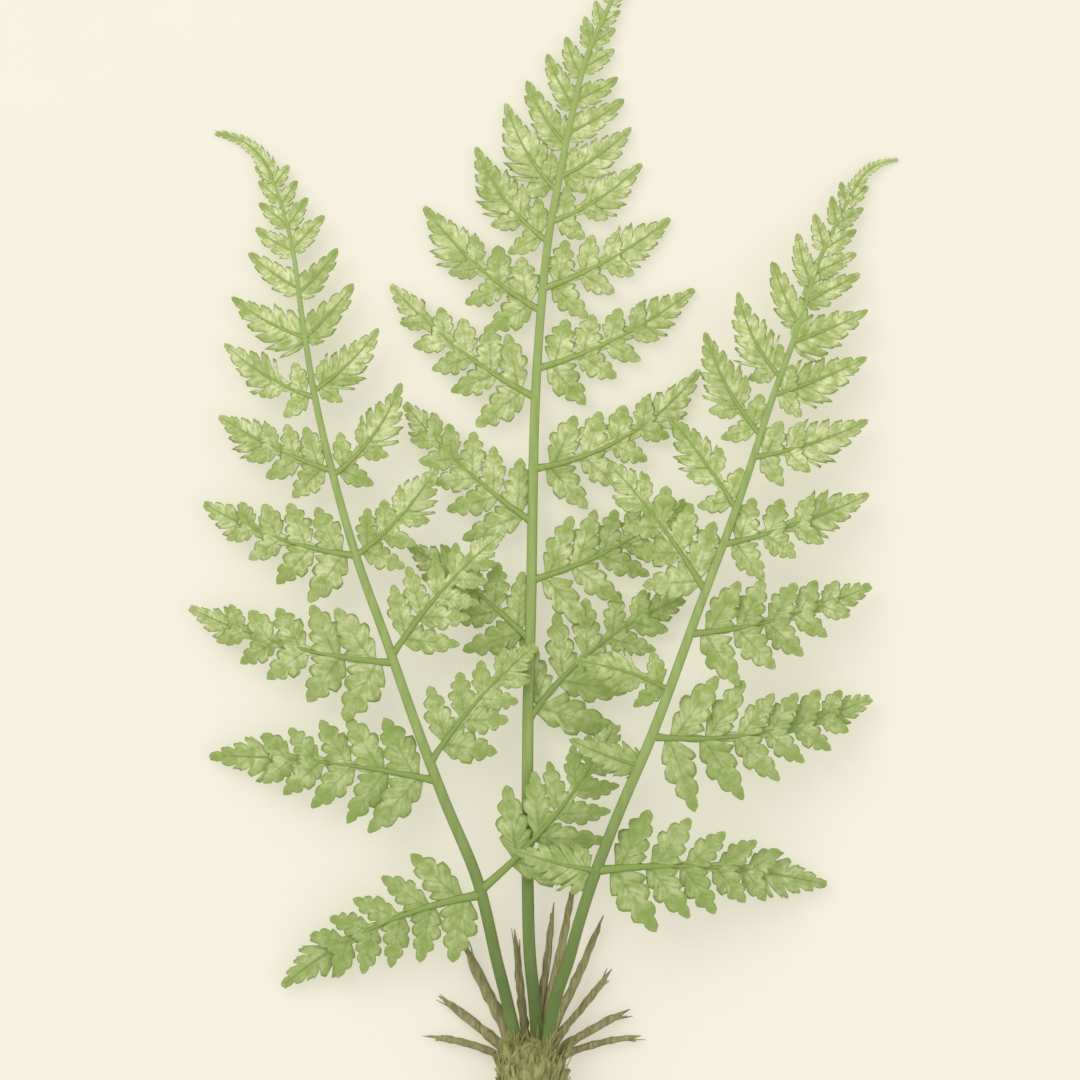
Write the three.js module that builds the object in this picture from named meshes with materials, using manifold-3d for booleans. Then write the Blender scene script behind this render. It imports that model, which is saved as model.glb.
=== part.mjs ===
// A scaly male fern plant lying on a flat surface: three fronds fanned from one scaly crown.
// Millimetres, +Z up. The fronds run along +Y, and the origin is the flat spot under the crown.
import * as THREE from "three";
import { mergeVertices } from "three/addons/utils/BufferGeometryUtils.js";
import Module from "manifold-3d";

const wasm = await Module();
wasm.setup();

// Rachis: the stalk and midline of a frond
const RACHIS_TIP_RADIUS = 0.45;
const RACHIS_TAPER = 2.45; // how much thicker the foot is than the tip, in radius
const RACHIS_SIDES = 6;
const RACHIS_STEPS = 28;

// Pinna: one side branch of a frond, a thin blade cut to its rib
const RIB_HALF_WIDTH = 1.1;
const RIB_HALF_DEPTH = 0.85;
const STOUT_FROM = 60; // a pinna this long has the full rib, and a shorter one a slighter rib
const LEAST_STOUT = 0.4;
const EDGE_HALF_DEPTH = 0.34; // half the thickness of a leaflet at its edge
const PAIRS_PER_ROOT_MM = 0.76; // leaflet pairs grow with the square root of a pinna's length
const PAIRS_LESS = 1;
const FIRST_PAIR = 0.1; // where the first pair stands, as a fraction of the pinna, unless its row says
const UPPER_LAG = 0.15; // how far an upper leaflet stands past its lower one, as a share of their gap
const LEAFLET_REACH = 0.31; // the longest leaflet, as a fraction of the pinna
const UPPER_SHARE = 0.93; // leaflets on the side of the frond's tip are shorter
const LEAFLET_HALF_WIDTH = 0.32; // as a fraction of its reach
const PACKING = 0.44; // the same, as a fraction of the room between two leaflets
const LOWER_LEAN = 36; // degrees from the rib at the pinna's tip
const LOWER_SPREAD = 26; // degrees added at its root
const UPPER_LEAN = 34;
const UPPER_SPREAD = 28;
const WEB = 0.5; // how far out neighbouring lobes stay joined, as a fraction of their reach
const TOOTHED_FROM = 15; // leaflets this long get a tooth on each edge
const SHOULDERED_FROM = 12; // leaflets this long stand free on a narrow foot
const LOBED_FROM = 3.6; // shorter ones are lobes that run together, and the shortest are bare teeth
const LEAFLET_DROOP = 0.05; // how far its tip hangs, as a fraction of its reach
const LEAFLET_ARCH = 0.12; // how far its edges hang, as a fraction of its half width
const LOWEST = 0.4; // the least height of a pinna's midline over the surface
const TIP_PAIRS = 6; // the frond's tip is one blade, with its smallest pinnae run together as teeth
const TIP_REACH = 0.13;

// Short pinna: one blunt blade with shallow lobes
const SHORT = 36;
const SHORT_HALF_WIDTH = 0.22; // as a fraction of its length
const TINY_EXTRA = 0.1; // what the tiniest pinna has on top of that, and the ones under TINY have part of
const TINY = 26;
const TINIEST = 10;
const SHOULDERLESS = 18; // a pinna shorter than this has pointed lobes
const LOBES_PER_ROOT_MM = 0.7;
const BLADE_FOOT = 0.03; // where its edge starts, as a fraction of its length
const LOBE_SHOULDER = 0.35; // where a lobe's first bend and its foremost point are, as fractions of it
const LOBE_POINT = 0.86;
const SHOULDER_WIDTH = 0.96; // half widths at the bend and in the notch, as fractions of the lobes' own
const NOTCH_WIDTH = 0.68;
const SHORT_PROFILE = [[0, 0.6], [0.1, 0.94], [0.28, 1], [0.5, 0.88], [0.72, 0.66], [0.9, 0.38], [1, 0.16]];

// Crown: the short stout rootstock
const CROWN_AXIS_HEIGHT = 13;
const CROWN_FLATTEN = 0.86;
const STIPE_CLEARANCE = 0.35;
const STUB_COUNT = 24;
const ROOT_COUNT = 9;
const OLD_TIP_HEIGHT = 3; // where an old leaf stalk ends over the surface
const GOLDEN_ANGLE = Math.PI * (3 - Math.sqrt(5));

// Each frond: how early its rachis grows thin, the line of the rachis, how far its pinnae droop for each
// millimetre of length, and its tip and pinnae as [height of the joint, length, heading in degrees, bow],
// with how much longer than usual a pinna's leaflets are and where its first pair stands, where that differs.
const FRONDS = {
  frond_centre: {
    slenderness: 0.42,
    rachis: [
      [3.2, 1, 9.9], [3.4, 14, 11], [2, 36, 11.6], [0, 55, 12], [-0.9, 81, 12.2], [-0.9, 162, 12],
      [0.5, 216, 11.4], [1.4, 270, 10.4], [2.4, 306, 9.6], [4.6, 342, 8.6], [8.2, 378, 7.6],
      [13, 405, 6.8], [18.4, 432, 6], [25.4, 460, 5.2], [36, 484, 4.4], [41, 494, 4],
    ],
    tip: [484, 34, 59, 1],
    droop: { left: 0.075, right: 0.075 },
    left: [
      [198, 70, 142, -2, 1.12], [251, 79, 137, 3, 1.05], [307, 83, 142, 4], [346, 71, 138, 4], [377, 54, 127, 4],
      [400, 46, 120, 3], [421, 34, 121, 2], [438, 27, 117, 1], [452, 19, 111, 1], [465, 14, 101, 0],
      [475, 11, 101, 0],
    ],
    right: [
      [162, 90, 38, 7, 1.15], [225, 79, 27, -4, 1.2], [275, 88, 31, -9, 0.9], [320, 80, 27, -4, 0.92], [356, 66, 29, -3],
      [386, 49, 33, -3], [406, 40, 35, -2], [426, 30, 31, -1], [441, 22, 28, -1], [455, 17, 31, 0],
      [466, 13, 33, 0], [475, 11, 34, 0],
    ],
  },
  frond_left: {
    slenderness: 0.62,
    rachis: [
      [-4.8, 1, 13.6], [-5.4, 13, 15], [-10.3, 36, 17.6], [-14.8, 54, 19.6], [-23.4, 90, 22],
      [-38.2, 126, 23], [-51.8, 162, 23], [-64.4, 198, 22.4], [-77.4, 234, 21], [-87.8, 270, 19.2],
      [-96.3, 306, 16.6], [-102.2, 342, 13.2], [-107.5, 378, 8.8], [-115.7, 405, 4.8],
      [-119.5, 413, 3.4],
    ],
    tip: [404, 35, 141, -6],
    droop: { left: 0.17, right: 0.03 },
    left: [
      [84, 100, 205, -7], [135, 104, 174, -3], [188, 96, 165, 5], [236, 73, 161, 4], [274, 57, 154, 2],
      [307, 48, 149, 3], [334, 38, 151, 2], [356, 28, 144, 1], [373, 20, 148, 1], [385, 16, 143, 0],
      [396, 13, 139, 0], [405, 10, 143, 0],
    ],
    right: [
      [86, 97, 51, -5, 1.15, 0.2], [143, 72, 48, 3, 1.25, 0.14], [191, 74, 48, 3, 1.2, 0.12], [236, 55, 48, -3, 1.15], [272, 52, 54, -4],
      [310, 41, 44, -2], [334, 33, 48, -1], [354, 27, 49, -1], [374, 21, 46, 0], [384, 16, 55, 0],
      [394, 13, 55, 0], [403, 11, 52, 0],
    ],
  },
  frond_right: {
    slenderness: 0.62,
    rachis: [
      [5.4, 1, 18.6], [7.2, 13, 20], [11, 36, 24], [17.1, 54, 27], [22.1, 72, 29.2], [27.9, 90, 31],
      [34.6, 108, 32.2], [41.9, 126, 33], [53.6, 153, 33.4], [63.9, 180, 33.2], [77, 216, 31.6],
      [87.3, 243, 29.8], [96.8, 270, 27.4], [108.5, 306, 23], [118.4, 333, 18.8], [124.2, 351, 15.6],
      [130.1, 369, 12], [138.6, 387, 8], [146, 401, 4.8], [150, 407, 3.6],
    ],
    tip: [400, 25, 34, 4],
    droop: { left: 0.03, right: 0.26 },
    left: [
      [95, 38, 166, 1], [142, 34, 159, 1], [176, 45, 163, -2], [220, 73, 127, -2, 1.1], [257, 52, 126, -1],
      [290, 53, 118, 3], [316, 43, 116, 3], [340, 31, 113, 1], [358, 24, 105, 1], [374, 16.5, 106, 0],
      [385, 13, 99, 0], [394, 10.5, 103, 0],
    ],
    right: [
      [95, 105, -4, 5], [155, 101, 10, -7], [201, 85, 15, -4], [241, 70, 19, -2], [280, 55, 18, -2],
      [308, 46, 22, -1], [332, 37, 23, -1], [350, 28, 27, 0], [363, 21, 25, 0], [374, 17, 30, 0],
      [385, 14.5, 30, 0], [395, 12, 36, 0],
    ],
  },
};

// Old dead leaf stalks that spread low from the crown: [x, y of the tip, radius half way along]
const OLD_STALKS = [
  [-30, 62, 2.9], [-41, 38, 2.4], [-7, 68, 2], [11, 80, 1.9], [21, 94, 2], [33, 74, 2.2],
  [37, 50, 1.9], [45, 32, 2.1], [50, 20, 1.8], [-46, 20, 1.9],
];

const FROND_LOOK = new THREE.MeshStandardMaterial({ color: 0x9fb56b, roughness: 0.7, metalness: 0 });
const CROWN_LOOK = new THREE.MeshStandardMaterial({ color: 0x8a7c4e, roughness: 0.9, metalness: 0 });

// A repeatable stream of numbers from 0 to 1
function seededDraw(seed) {
  let state = seed;
  return () => {
    state = (state * 16807) % 2147483647;
    return state / 2147483647;
  };
}

function solidFromGeometry(geometry) {
  const bare = geometry.clone();
  bare.deleteAttribute("normal");
  bare.deleteAttribute("uv");
  const merged = mergeVertices(bare, 1e-4);
  return new wasm.Manifold(
    new wasm.Mesh({
      numProp: 3,
      vertProperties: merged.attributes.position.array,
      triVerts: new Uint32Array(merged.index.array),
    }),
  );
}

function geometryFromSolid(solid) {
  const mesh = solid.getMesh();
  const geometry = new THREE.BufferGeometry();
  geometry.setAttribute("position", new THREE.BufferAttribute(new Float32Array(mesh.vertProperties), 3));
  geometry.setIndex(new THREE.BufferAttribute(mesh.triVerts, 1));
  const facets = geometry.toNonIndexed();
  facets.computeVertexNormals();
  return facets;
}

function curveThrough(points) {
  return new THREE.CatmullRomCurve3(points.map((p) => new THREE.Vector3(...p)), false, "centripetal");
}

// A round tube along a curve whose radius changes by a rule of the fraction along it
function taperedTube(curve, radiusAt, sides, steps) {
  const section = new THREE.Shape();
  for (let i = 0; i < sides; i++) {
    const angle = (2 * Math.PI * i) / sides;
    if (i === 0) section.moveTo(Math.cos(angle), Math.sin(angle));
    else section.lineTo(Math.cos(angle), Math.sin(angle));
  }
  section.closePath();
  const tube = new THREE.ExtrudeGeometry(section, { steps, extrudePath: curve, bevelEnabled: false });
  const stations = curve.getSpacedPoints(steps);
  const spots = tube.attributes.position;
  const spot = new THREE.Vector3();
  for (let i = 0; i < spots.count; i++) {
    spot.fromBufferAttribute(spots, i);
    const nearest = stations.reduce(
      (best, station, k) => (station.distanceTo(spot) < stations[best].distanceTo(spot) ? k : best),
      0,
    );
    spot.sub(stations[nearest]).multiplyScalar(radiusAt(nearest / steps)).add(stations[nearest]);
    spots.setXYZ(i, spot.x, spot.y, spot.z);
  }
  return solidFromGeometry(tube);
}

// The radius of a rachis at a fraction of its length: it keeps stout for long and thins near its tip
function rachisRule(slenderness) {
  return (fraction) => RACHIS_TIP_RADIUS + RACHIS_TAPER * Math.pow(1 - fraction, slenderness);
}

// The point on the axis of a rachis, between two of its stations, at a height along the plant
function pointAtHeight(curve, y) {
  const stations = curve.getSpacedPoints(RACHIS_STEPS);
  const above = stations.findIndex((station) => station.y >= y);
  const [low, high] = [stations[above - 1], stations[above]];
  return low.clone().lerp(high, (y - low.y) / (high.y - low.y));
}

// The midline of a pinna, from the axis of the rachis to its tip, drooping as it goes
function pinnaMidline(joint, [, length, heading, bow], droop) {
  const turn = THREE.MathUtils.degToRad(heading);
  const along = new THREE.Vector2(Math.cos(turn), Math.sin(turn));
  const across = new THREE.Vector2(-along.y, along.x);
  const fall = Math.min(droop * length, Math.max(joint.z - LOWEST - 0.01 * length, 0));
  return (s) => {
    const side = 4 * bow * s * (1 - s);
    const slope = (4 * bow * (1 - 2 * s)) / length;
    const forward = along.clone().addScaledVector(across, slope).normalize();
    return {
      x: joint.x + along.x * length * s + across.x * side,
      y: joint.y + along.y * length * s + across.y * side,
      z: joint.z - fall * Math.pow(s, 1.5),
      forward,
      left: new THREE.Vector2(-forward.y, forward.x),
    };
  };
}

// Where the leaflets of one side stand, how long and how wide they are and which way they point
function leafletRow(length, lower, pairs, longest, first) {
  const place = (i) => first + (1 - first) * (1 - Math.pow(1 - i / (pairs + 0.6), 1.25));
  const row = [];
  for (let i = 0; i < pairs; i++) {
    const at = place(i + (lower ? 0 : UPPER_LAG));
    const gap = (place(i + 1) - place(i)) * length;
    const reach = length * (longest * Math.pow(1 - at, 0.7) + 0.015) * (lower ? 1 : UPPER_SHARE);
    const lean = lower
      ? LOWER_LEAN + LOWER_SPREAD * Math.pow(1 - at, 1.3)
      : UPPER_LEAN + UPPER_SPREAD * (1 - at);
    const angle = THREE.MathUtils.degToRad(lean);
    const halfWidth = Math.min(LEAFLET_HALF_WIDTH * reach, PACKING * gap * Math.sin(angle));
    const foot = Math.min(0.28 * gap, 0.3 * halfWidth + 0.4, 0.7 * at * length) / length;
    const webOut = WEB * reach * Math.sin(angle);
    const webAt = Math.min(at + (0.5 * gap + WEB * reach * Math.cos(angle)) / length, 0.5 + 0.5 * at);
    row.push({ at, reach, angle, halfWidth, foot, webOut, webAt });
  }
  return row;
}

function pinnaPairs(length) {
  return Math.max(2, Math.round(PAIRS_PER_ROOT_MM * Math.sqrt(length) - PAIRS_LESS));
}

// Half outlines of a leaflet, as [fraction out, fraction of the half width], from foot to tip
const TOOTHED = { free: true, rear: [[0.4, -1], [0.78, -0.8]], front: [[0.32, 0.95], [0.76, 0.9]] };
const SHOULDERED = { free: true, rear: [[0.52, -1]], front: [[0.6, 1]] };
const LOBE = { free: false, rear: [[0.82, -0.6]], front: [] };
const TOOTH = { free: false, rear: [], front: [] };

function outlineFor(reach) {
  if (reach > TOOTHED_FROM) return TOOTHED;
  if (reach > SHOULDERED_FROM) return SHOULDERED;
  return reach > LOBED_FROM ? LOBE : TOOTH;
}

// A blade under construction: its points, each with half the thickness there, and its triangles
function newBlade() {
  const points = [];
  const triangles = [];
  const addPoint = (x, y, z, halfDepth) => points.push({ x, y, z, halfDepth }) - 1;
  const addFace = (a, b, c, turned) => triangles.push(turned ? [a, c, b] : [a, b, c]);

  // Triangles between two chains of points that share their last point, stepping the nearer one
  const joinChains = (a, b, distance, turned) => {
    let i = 0;
    let j = 0;
    while (i < a.length - 1 || j < b.length - 1) {
      const stepA = j === b.length - 1 || (i < a.length - 1 && distance(a[i + 1]) <= distance(b[j + 1]));
      if (stepA) {
        if (a[i + 1] !== b[j]) addFace(a[i], a[i + 1], b[j], turned);
        i++;
      } else {
        if (a[i] !== b[j + 1]) addFace(a[i], b[j + 1], b[j], turned);
        j++;
      }
    }
  };
  return { points, triangles, addPoint, joinChains };
}

// A rule that adds the point of a blade's rib at a fraction along it, on one side
function ribRule(addPoint, midline, length) {
  const stout = THREE.MathUtils.clamp(length / STOUT_FROM, LEAST_STOUT, 1);
  return (s, side) => {
    const m = midline(s);
    const half = RIB_HALF_WIDTH * stout * (1 - 0.7 * s) * side;
    const halfDepth = RIB_HALF_DEPTH * stout * (1 - 0.5 * s);
    return addPoint(m.x + m.left.x * half, m.y + m.left.y * half, m.z, halfDepth);
  };
}

// How far each point of a blade is along it, for joining its chains in step
function distanceAlong(points, midline) {
  const start = midline(0);
  const heading = new THREE.Vector2(midline(1).x - start.x, midline(1).y - start.y);
  return (k) => (points[k].x - start.x) * heading.x + (points[k].y - start.y) * heading.y;
}

function valueAt(profile, x) {
  const above = Math.max(profile.findIndex(([at]) => at >= x), 1);
  const [[x0, y0], [x1, y1]] = [profile[above - 1], profile[above]];
  return y0 + ((y1 - y0) * (x - x0)) / (x1 - x0);
}

// A short pinna: one blunt blade whose edges run out and in along shallow lobes that point forward
function lobedBlade(midline, length) {
  const { points, triangles, addPoint, joinChains } = newBlade();
  const ribPoint = ribRule(addPoint, midline, length);
  const tiny = THREE.MathUtils.clamp((TINY - length) / (TINY - TINIEST), 0, 1);
  const halfWidth = length * (SHORT_HALF_WIDTH + TINY_EXTRA * tiny);
  const lobes = Math.round(LOBES_PER_ROOT_MM * Math.sqrt(length));
  const tip = addPoint(midline(1).x, midline(1).y, midline(1).z, EDGE_HALF_DEPTH);
  const edgePoint = (s, side, share) => {
    const m = midline(s);
    const out = halfWidth * valueAt(SHORT_PROFILE, s) * share;
    const z = m.z - LEAFLET_ARCH * out;
    return addPoint(m.x + m.left.x * out * side, m.y + m.left.y * out * side, z, EDGE_HALF_DEPTH);
  };
  const buildSide = (side) => {
    const rib = [];
    const outline = [];
    for (let i = 0; i < lobes; i++) {
      rib.push(ribPoint(i / lobes, side));
      outline.push(i === 0 ? edgePoint(BLADE_FOOT, side, 1) : edgePoint(i / lobes, side, NOTCH_WIDTH));
      if (length > SHOULDERLESS) outline.push(edgePoint((i + LOBE_SHOULDER) / lobes, side, SHOULDER_WIDTH));
      outline.push(edgePoint((i + LOBE_POINT) / lobes, side, 1));
    }
    return { rib: [...rib, tip], outline: [...outline, tip] };
  };
  const right = buildSide(-1);
  const left = buildSide(1);
  const distance = distanceAlong(points, midline);
  joinChains(right.rib, right.outline, distance, true);
  joinChains(left.rib, left.outline, distance, false);
  joinChains(left.rib, right.rib, distance, true);
  const loop = [right.rib[0], ...right.outline, ...left.outline.slice(0, -1).reverse(), left.rib[0]];
  return closedBlade(points, triangles, loop);
}

// A long pinna: a thin blade cut to its rib, with a row of leaflets on each side
function pinnaBlade(midline, length, tipwardIsLeft, pairs, longest, first = FIRST_PAIR) {
  const { points, triangles, addPoint, joinChains } = newBlade();
  const ribPoint = ribRule(addPoint, midline, length);
  const webPoint = (s, side, out) => {
    const m = midline(s);
    return addPoint(m.x + m.left.x * out * side, m.y + m.left.y * out * side, m.z, EDGE_HALF_DEPTH);
  };
  const tip = addPoint(midline(1).x, midline(1).y, midline(1).z, EDGE_HALF_DEPTH);

  // One side of the blade: its points on the rib, and its whole outline from root to tip
  const buildSide = (side) => {
    const rib = [ribPoint(0, side)];
    const outline = [...rib];
    let afterLobe = false;
    for (const leaflet of leafletRow(length, tipwardIsLeft ? side < 0 : side > 0, pairs, longest, first)) {
      const m = midline(leaflet.at);
      const { free, rear, front: fore } = outlineFor(leaflet.reach);
      const joined = !free && afterLobe;
      const rearFoot = joined ? rib.at(-1) : ribPoint(leaflet.at - leaflet.foot, side);
      const frontFoot = free
        ? ribPoint(leaflet.at + leaflet.foot, side)
        : webPoint(leaflet.webAt, side, leaflet.webOut);
      const out = new THREE.Vector2(
        m.forward.x * Math.cos(leaflet.angle) + m.left.x * Math.sin(leaflet.angle) * side,
        m.forward.y * Math.cos(leaflet.angle) + m.left.y * Math.sin(leaflet.angle) * side,
      );
      const front = new THREE.Vector2(out.y * side, -out.x * side);
      const place = ([u, v]) =>
        addPoint(
          m.x + out.x * leaflet.reach * u + front.x * leaflet.halfWidth * v,
          m.y + out.y * leaflet.reach * u + front.y * leaflet.halfWidth * v,
          m.z - LEAFLET_DROOP * leaflet.reach * u * u - LEAFLET_ARCH * leaflet.halfWidth * Math.abs(v),
          EDGE_HALF_DEPTH,
        );
      const rearEdge = [rearFoot, ...rear.map(place)];
      const frontEdge = [frontFoot, ...fore.map(place)];
      const end = place([1, 0]);
      const outward = (k) => (points[k].x - m.x) * out.x + (points[k].y - m.y) * out.y;
      joinChains([...rearEdge, end], [...frontEdge, end], outward, side > 0);
      rib.push(...(joined ? [] : [rearFoot]), frontFoot);
      outline.push(...rearEdge.slice(joined ? 1 : 0), end, ...frontEdge.slice().reverse());
      afterLobe = !free;
    }
    return { rib: [...rib, tip], outline };
  };

  const right = buildSide(-1);
  const left = buildSide(1);
  joinChains(left.rib, right.rib, distanceAlong(points, midline), true);

  const loop = [...right.outline, tip, ...left.outline.slice().reverse()];
  return closedBlade(points, triangles, loop);
}

// The same triangles on the blade's upper and lower face, closed by walls along its loop
function closedBlade(points, triangles, loop) {
  const spots = [];
  points.forEach((p) => spots.push(p.x, p.y, p.z + p.halfDepth));
  points.forEach((p) => spots.push(p.x, p.y, p.z - p.halfDepth));
  const under = points.length;
  const index = [];
  triangles.forEach(([a, b, c]) => index.push(a, b, c, under + a, under + c, under + b));
  loop.forEach((a, i) => {
    const b = loop[(i + 1) % loop.length];
    index.push(under + a, under + b, b, under + a, b, a);
  });
  const geometry = new THREE.BufferGeometry();
  geometry.setAttribute("position", new THREE.Float32BufferAttribute(spots, 3));
  geometry.setIndex(index);
  return solidFromGeometry(geometry);
}

function buildFrond({ slenderness, rachis, tip, droop, left, right }) {
  const curve = curveThrough(rachis);
  const pieces = [taperedTube(curve, rachisRule(slenderness), RACHIS_SIDES, RACHIS_STEPS)];
  const addPinnae = (rows, fall, tipwardIsLeft) => {
    for (const row of rows) {
      const midline = pinnaMidline(pointAtHeight(curve, row[0]), row, fall);
      const [, length, , , fullness = 1, first = FIRST_PAIR] = row;
      if (length < SHORT) pieces.push(lobedBlade(midline, length));
      else {
        const longest = LEAFLET_REACH * fullness;
        pieces.push(pinnaBlade(midline, length, tipwardIsLeft, pinnaPairs(length), longest, first));
      }
    }
  };
  addPinnae(left, droop.left, false);
  addPinnae(right, droop.right, true);
  const tipMidline = pinnaMidline(pointAtHeight(curve, tip[0]), tip, Math.max(droop.left, droop.right));
  pieces.push(pinnaBlade(tipMidline, tip[1], true, TIP_PAIRS, TIP_REACH));
  return wasm.Manifold.union(pieces);
}

// The room that a leaf stalk stands in, a little wider and deeper than the stalk
function stipeHole({ slenderness, rachis }) {
  const foot = new THREE.Vector3(...rachis[0]);
  const next = new THREE.Vector3(...rachis[1]);
  foot.addScaledVector(foot.clone().sub(next).normalize(), STIPE_CLEARANCE);
  const curve = curveThrough([foot.toArray(), ...rachis.slice(1)]);
  const radiusAt = rachisRule(slenderness);
  return taperedTube(curve, (f) => radiusAt(f) + STIPE_CLEARANCE, RACHIS_SIDES, RACHIS_STEPS);
}

function crownCore() {
  const profile = [
    [0, -30], [8, -27.5], [13.4, -18], [15.8, -3], [14.6, 8], [10, 16], [0, 20],
  ];
  const core = new THREE.LatheGeometry(profile.map(([r, y]) => new THREE.Vector2(r, y)), 12);
  core.scale(1, 1, CROWN_FLATTEN);
  core.translate(1, 0, CROWN_AXIS_HEIGHT);
  return solidFromGeometry(core);
}

// Stubs of old leaf bases cover the rootstock in a spiral, all leaning towards its tip
function leafStubs() {
  const draw = seededDraw(71);
  const stubs = [];
  for (let k = 0; k < STUB_COUNT; k++) {
    const around = k * GOLDEN_ANGLE;
    const outward = new THREE.Vector3(Math.cos(around), 0, Math.sin(around) * CROWN_FLATTEN);
    const y = -25 + (34 * k) / STUB_COUNT;
    const size = 0.8 + 0.4 * draw();
    if (outward.z < -0.55) continue;
    const lean = outward.clone().multiplyScalar(0.55).add(new THREE.Vector3(0, 1, 0)).normalize();
    const stub = new THREE.CylinderGeometry(0.9, 3.6 * size, 18 * size, 4);
    stub.rotateY(draw() * Math.PI);
    stub.applyQuaternion(new THREE.Quaternion().setFromUnitVectors(new THREE.Vector3(0, 1, 0), lean));
    const seat = outward.multiplyScalar(13).add(new THREE.Vector3(1, y + 5, CROWN_AXIS_HEIGHT));
    stub.translate(seat.x, seat.y, seat.z);
    stubs.push(solidFromGeometry(stub));
  }
  return stubs;
}

function oldStalks() {
  return OLD_STALKS.map(([x, y, radius]) => {
    const curve = curveThrough([
      [1 + 0.12 * x, 2, 8],
      [0.3 * x, 7 + 0.2 * y, 6.6],
      [0.66 * x, 6 + 0.56 * y, 4.6],
      [x, y, OLD_TIP_HEIGHT],
    ]);
    return taperedTube(curve, (f) => radius * (1.2 - 0.5 * f), 4, 4);
  });
}

// Short wiry roots from the back and sides of the rootstock
function wiryRoots() {
  const draw = seededDraw(29);
  const roots = [];
  for (let k = 0; k < ROOT_COUNT; k++) {
    const turn = Math.PI * (1.08 + (0.84 * k) / (ROOT_COUNT - 1));
    const reach = 15 + 10 * draw();
    const rise = 2 + 7 * draw();
    const wander = (draw() - 0.5) * 10;
    const start = [1 + 7 * Math.cos(turn), -14 + 6 * Math.sin(turn), 5 + rise];
    const knee = [1 + 17 * Math.cos(turn), -18 + 13 * Math.sin(turn), 4 + rise * 0.8];
    const end = [
      1 + (17 + reach) * Math.cos(turn) + wander,
      -18 + (9 + reach) * Math.sin(turn) * 0.75,
      1.4 + draw() * 2,
    ];
    roots.push(taperedTube(curveThrough([start, knee, end]), (f) => 0.95 - 0.4 * f, 3, 4));
  }
  return roots;
}

function buildCrown() {
  const grown = wasm.Manifold.union([crownCore(), ...leafStubs(), ...oldStalks(), ...wiryRoots()]);
  const ground = new THREE.BoxGeometry(400, 400, 40);
  ground.translate(0, 0, -20);
  let crown = grown.subtract(solidFromGeometry(ground));
  for (const frond of Object.values(FRONDS)) crown = crown.subtract(stipeHole(frond));
  return crown;
}

// The body of a solid without the specks and sealed specks of air that joining can leave
function mainBody(solid) {
  return solid.decompose().sort((a, b) => b.volume() - a.volume())[0];
}

function namedMesh(name, solid, look) {
  const mesh = new THREE.Mesh(geometryFromSolid(mainBody(solid)), look);
  mesh.name = name;
  return mesh;
}

const fern = new THREE.Group();
fern.add(namedMesh("crown", buildCrown(), CROWN_LOOK));
for (const [name, frond] of Object.entries(FRONDS)) {
  fern.add(namedMesh(name, buildFrond(frond), FROND_LOOK));
}

export default fern;
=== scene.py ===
"""A scaly male fern lying on a pale floor: three fronds fanned from one crown, seen from straight above."""

import math
import random

import bpy
from mathutils import Matrix, Vector


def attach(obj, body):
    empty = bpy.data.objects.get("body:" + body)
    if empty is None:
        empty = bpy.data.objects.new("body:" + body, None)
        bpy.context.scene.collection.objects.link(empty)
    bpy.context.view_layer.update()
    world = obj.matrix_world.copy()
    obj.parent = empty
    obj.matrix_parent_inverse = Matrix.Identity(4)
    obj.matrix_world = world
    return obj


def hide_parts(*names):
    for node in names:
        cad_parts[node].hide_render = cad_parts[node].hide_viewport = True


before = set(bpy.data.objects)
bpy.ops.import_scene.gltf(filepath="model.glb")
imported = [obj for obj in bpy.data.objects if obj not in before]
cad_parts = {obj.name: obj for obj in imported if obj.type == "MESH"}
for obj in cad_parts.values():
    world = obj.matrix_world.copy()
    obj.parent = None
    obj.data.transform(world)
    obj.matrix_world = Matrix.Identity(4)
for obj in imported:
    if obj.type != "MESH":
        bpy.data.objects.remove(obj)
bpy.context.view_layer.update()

MM = 0.001

# Stalk and midline of a frond (rachis), in millimetres
RACHIS_TIP_RADIUS = 0.45
RACHIS_TAPER = 2.45
RACHIS_STEPS = 72
RACHIS_SIDES = 12
GROOVE = 0.3  # depth of the groove along its upper side, as a fraction of its radius

# Side branches of a frond (pinnae)
RIB_RADIUS = 1.35
RIB_TIP_RADIUS = 0.1
RIB_STEPS = 14
RIB_RISE = 0.25  # how far a rib stands up from the middle of its leaflets
RIB_FLARE = 0.45  # how much stouter it is where it leaves the rachis
FLARE_LENGTH = 5
RIB_IN_RACHIS = 0.62  # its greatest radius inside the rachis, as a fraction of the radius there
RIB_SWELLS = 0.25  # how much more of its radius it may have for each millimetre further out
STOUT_FROM = 60  # length of the pinna whose rib has the full radius
LEAST_STOUT = 0.3
MOST_STOUT = 1.12
LOW_BELOW = 140  # a pinna that joins lower than this has a stouter rib
LOW_STOUTER = 0.8
LOWEST = 0.4  # a pinna's tip droops no lower than this

# Leaflets along a long pinna, and the lobed blade that its outer part is
PAIRS_PER_ROOT_MM = 0.76
PAIRS_LESS = 1
FIRST_PAIR = 0.075
UPPER_LAG = 0.15  # how far an upper leaflet stands past its lower one, as a share of their gap
LEAFLET_REACH = 0.31
END_REACH = 0.015
UPPER_SHARE = 0.95
LOWER_LEAN = (38, 28, 1.3)  # degrees at the pinna's tip, how much more at its foot, and how that fades
UPPER_LEAN = (36, 20, 1)
LOWER_HALF_WIDTH = 0.33
UPPER_HALF_WIDTH = 0.36
PACKING = 0.64
FREE_ABOVE = 12  # leaflets longer than this, and than a share of their pinna, stand free of the outer blade
FREE_SHARE = 0.13
COARSE_ABOVE = 18  # a longer leaflet has the most teeth
LOBE_LEAN = 0.95  # how far back a lobe's foot lies, as a fraction of its width across
FEWEST_LOBES = 4
MOST_LOBES = 7
LOBES_MORE = 3  # how many more lobes the outer blade has than the leaflets that it stands for
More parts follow.
